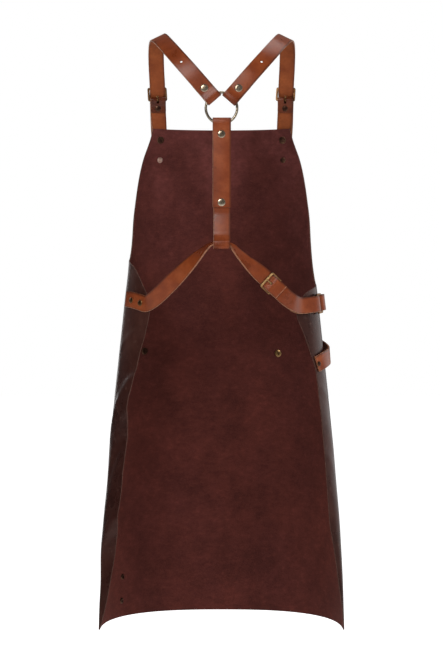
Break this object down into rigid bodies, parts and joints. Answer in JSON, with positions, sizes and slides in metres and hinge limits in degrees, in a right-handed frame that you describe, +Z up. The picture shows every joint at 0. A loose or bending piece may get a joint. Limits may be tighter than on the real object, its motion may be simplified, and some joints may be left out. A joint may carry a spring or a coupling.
{
  "type": "leather bib apron",
  "caption": "Leather work apron with a bib, wrapped sides, shoulder straps that meet at a back ring, a looped waist strap with a buckle, and a tool loop.",
  "frame": {"origin": "midway between the undersides of the two shoulder straps at their highest, where the apron hangs on the wearer's shoulders", "axes": "+X to the wearer's right, +Y to the wearer's front, +Z up"},
  "size_m": [0.3879, 0.2255, 0.954],
  "materials": {
    "panel_leather": "dark oxblood, waxed outside and suede inside",
    "strap_leather": "cognac bridle leather, burnished edges",
    "brass": "antique, worn bright on its edges"
  },
  "bodies": {
    "root": {"apron_panel": "panel_leather", "shoulder_strap_left": "strap_leather", "shoulder_strap_right": "strap_leather", "chest_tab_left": "strap_leather", "chest_tab_right": "strap_leather", "back_strap": "strap_leather", "waist_loop": "strap_leather", "waist_strap": "strap_leather", "side_strap": "strap_leather", "side_tab": "strap_leather", "tool_loop": "strap_leather", "back_ring": "brass", "chest_buckle_frame_left": "brass", "chest_buckle_frame_right": "brass", "chest_buckle_tongue_left": "brass", "chest_buckle_tongue_right": "brass", "waist_buckle_frame": "brass", "waist_buckle_tongue": "brass", "side_loop": "brass", "chest_tab_rivet_left": "brass", "chest_tab_rivet_right": "brass", "bib_rivet_upper_left": "brass", "bib_rivet_upper_right": "brass", "bib_rivet_lower_left": "brass", "bib_rivet_lower_right": "brass", "shoulder_rivet_left": "brass", "shoulder_rivet_right": "brass", "back_rivet_upper": "brass", "back_rivet_lower": "brass", "waist_rivet_outer": "brass", "waist_rivet_inner": "brass", "side_tab_rivet_rear": "brass", "side_tab_rivet_front": "brass", "tool_loop_rivet_rear": "brass", "tool_loop_rivet_front": "brass", "panel_rivet_left": "brass", "panel_rivet_right": "brass", "hem_rivet_upper": "brass", "hem_rivet_lower": "brass"}
  },
  "joints": []
}
